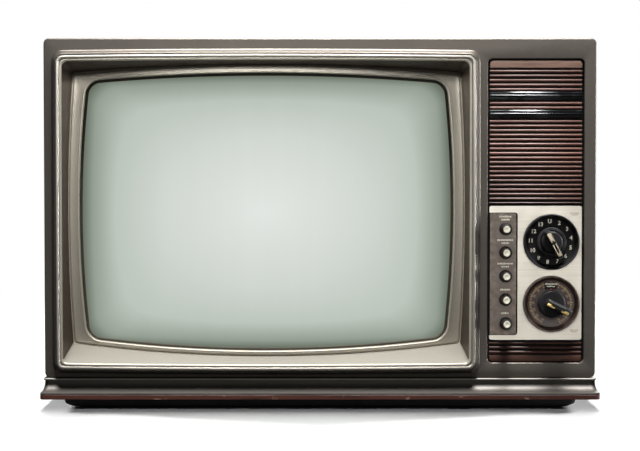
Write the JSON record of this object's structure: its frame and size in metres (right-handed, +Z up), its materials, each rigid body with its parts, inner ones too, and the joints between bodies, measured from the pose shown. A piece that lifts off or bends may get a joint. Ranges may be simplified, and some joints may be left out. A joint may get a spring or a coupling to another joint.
{
  "type": "table-top television",
  "caption": "Table-top colour television: deep picture mask, louvred speaker panel, rotary channel selectors, plinth base and stowed rear dipole aerial.",
  "frame": {"origin": "middle of the bounding box, on the plane the feet stand on", "axes": "+X to the viewer's right, -Y out of the screen, +Z up"},
  "size_m": [0.607, 0.423, 0.404],
  "materials": {
    "taupe_paint": "metallic taupe paint, satin, worn bright on the edges",
    "pewter": "metallised pewter-coloured moulding, soft shine",
    "chrome": "bright plated",
    "walnut": "simulated walnut grain, satin",
    "black_plastic": "fine-grained black moulding",
    "gloss_black": "polished black bar",
    "champagne": "brushed champagne foil",
    "umber": "umber paint, satin",
    "screen_glass": "grey-green picture glass, polished",
    "grey_glass": "glass with a dark conductive coat",
    "steel": "zinc-plated sheet",
    "cast": "light can of thin sheet",
    "rubber": "matt",
    "board": "phenolic board",
    "copper": "enamelled copper winding",
    "paper": "black paper cone",
    "cream": "pale satin disc",
    "bakelite": "dark brown moulding"
  },
  "bodies": {
    "cabinet": {"front_frame": "taupe_paint", "cabinet_wrap": "walnut", "plinth": "taupe_paint", "plinth_edge_band": "walnut", "base_pan": "black_plastic", "foot_front_left": "rubber", "foot_rear_left": "rubber", "foot_front_right": "rubber", "foot_rear_right": "rubber", "picture_mask": "pewter", "mask_trim_ring": "chrome", "tube_faceplate": "screen_glass", "tube_funnel": "grey_glass", "tension_band": "steel", "deflection_yoke": "copper", "tube_socket": "board", "speaker_grille": "walnut", "grille_band_upper": "gloss_black", "grille_band_lower": "gloss_black", "control_plate": "champagne", "control_strip": "umber", "lower_louvre": "walnut", "panel_carrier": "black_plastic", "speaker_frame": "steel", "control_board": "board", "vhf_dial": "black_plastic", "vhf_tuner": "cast", "uhf_tuner": "cast", "chassis_tray": "steel", "circuit_board": "board", "power_transformer": "steel", "flyback_transformer": "bakelite", "rear_cover": "black_plastic", "mains_inlet": "bakelite", "aerial_terminals": "bakelite", "aerial_mount": "black_plastic"},
    "speaker_cone": {"speaker_cone": "paper"},
    "tint_knob": {"tint_knob": "black_plastic", "tint_knob_cap": "cream"},
    "color_knob": {"color_knob": "black_plastic", "color_knob_cap": "cream"},
    "contrast_knob": {"contrast_knob": "black_plastic", "contrast_knob_cap": "cream"},
    "brightness_knob": {"brightness_knob": "black_plastic", "brightness_knob_cap": "cream"},
    "volume_slider": {"volume_switch_slider": "steel"},
    "volume_knob": {"volume_knob": "black_plastic", "volume_knob_cap": "cream"},
    "vhf_selector": {"vhf_knob": "black_plastic"},
    "fine_tuning": {"fine_tuning_ring": "black_plastic"},
    "uhf_selector": {"uhf_knob": "black_plastic"},
    "uhf_scale": {"uhf_dial": "bakelite"},
    "left_aerial_swivel": {"left_aerial_swivel": "black_plastic"},
    "left_aerial_rod_outer": {"left_aerial_rod_outer": "chrome"},
    "left_aerial_rod_middle": {"left_aerial_rod_middle": "chrome"},
    "left_aerial_rod_tip": {"left_aerial_rod_tip": "chrome"},
    "right_aerial_swivel": {"right_aerial_swivel": "black_plastic"},
    "right_aerial_rod_outer": {"right_aerial_rod_outer": "chrome"},
    "right_aerial_rod_middle": {"right_aerial_rod_middle": "chrome"},
    "right_aerial_rod_tip": {"right_aerial_rod_tip": "chrome"}
  },
  "joints": [
    {"name": "tint_turn", "type": "hinge", "parent": "cabinet", "child": "tint_knob", "pos_m": [0.2017, -0.1845, 0.1973], "axis": [0, -1, 0], "range_deg": [-150, 150]},
    {"name": "color_turn", "type": "hinge", "parent": "cabinet", "child": "color_knob", "pos_m": [0.2017, -0.1845, 0.1717], "axis": [0, -1, 0], "range_deg": [-150, 150]},
    {"name": "contrast_turn", "type": "hinge", "parent": "cabinet", "child": "contrast_knob", "pos_m": [0.2017, -0.1845, 0.1461], "axis": [0, -1, 0], "range_deg": [-150, 150]},
    {"name": "brightness_turn", "type": "hinge", "parent": "cabinet", "child": "brightness_knob", "pos_m": [0.2017, -0.1845, 0.1205], "axis": [0, -1, 0], "range_deg": [-150, 150]},
    {"name": "volume_pull", "type": "slide", "parent": "cabinet", "child": "volume_slider", "axis": [0, -1, 0], "range_m": [-0.005, 0]},
    {"name": "volume_turn", "type": "hinge", "parent": "volume_slider", "child": "volume_knob", "pos_m": [0.2017, -0.1845, 0.0949], "axis": [0, -1, 0], "range_deg": [-150, 150]},
    {"name": "vhf_turn", "type": "hinge", "parent": "cabinet", "child": "vhf_selector", "pos_m": [0.251, -0.1845, 0.1834], "axis": [0, -1, 0], "continuous": true},
    {"name": "fine_tuning_turn", "type": "hinge", "parent": "cabinet", "child": "fine_tuning", "pos_m": [0.251, -0.1845, 0.1834], "axis": [0, -1, 0], "continuous": true},
    {"name": "uhf_turn", "type": "hinge", "parent": "cabinet", "child": "uhf_selector", "pos_m": [0.251, -0.1845, 0.1163], "axis": [0, -1, 0], "range_deg": [-840, 840]},
    {"name": "uhf_scale_turn", "type": "hinge", "parent": "cabinet", "child": "uhf_scale", "pos_m": [0.251, -0.1845, 0.1163], "axis": [0, -1, 0], "range_deg": [-140, 140]},
    {"name": "cone_travel", "type": "slide", "parent": "cabinet", "child": "speaker_cone", "axis": [0, 1, 0], "range_m": [-0.0012, 0.0012], "stiffness_N_per_m": 1500},
    {"name": "left_aerial_raise", "type": "hinge", "parent": "cabinet", "child": "left_aerial_swivel", "pos_m": [-0.024, 0.1175, 0.362], "axis": [0, 1, 0], "range_deg": [0, 85]},
    {"name": "left_aerial_tilt", "type": "hinge", "parent": "left_aerial_swivel", "child": "left_aerial_rod_outer", "pos_m": [-0.042, 0.123, 0.362], "axis": [0, 0, -1], "range_deg": [0, 75]},
    {"name": "left_aerial_draw_middle", "type": "slide", "parent": "left_aerial_rod_outer", "child": "left_aerial_rod_middle", "axis": [-1, 0, 0], "range_m": [0, 0.2]},
    {"name": "left_aerial_draw_tip", "type": "slide", "parent": "left_aerial_rod_middle", "child": "left_aerial_rod_tip", "axis": [-1, 0, 0], "range_m": [0, 0.2]},
    {"name": "right_aerial_raise", "type": "hinge", "parent": "cabinet", "child": "right_aerial_swivel", "pos_m": [0.024, 0.1175, 0.362], "axis": [0, -1, 0], "range_deg": [0, 85]},
    {"name": "right_aerial_tilt", "type": "hinge", "parent": "right_aerial_swivel", "child": "right_aerial_rod_outer", "pos_m": [0.042, 0.123, 0.362], "axis": [0, 0, 1], "range_deg": [0, 75]},
    {"name": "right_aerial_draw_middle", "type": "slide", "parent": "right_aerial_rod_outer", "child": "right_aerial_rod_middle", "axis": [1, 0, 0], "range_m": [0, 0.2]},
    {"name": "right_aerial_draw_tip", "type": "slide", "parent": "right_aerial_rod_middle", "child": "right_aerial_rod_tip", "axis": [1, 0, 0], "range_m": [0, 0.2]}
  ],
  "couplings": [
    {"joint": "uhf_scale_turn", "follows": "uhf_turn", "ratio": 0.16667}
  ]
}
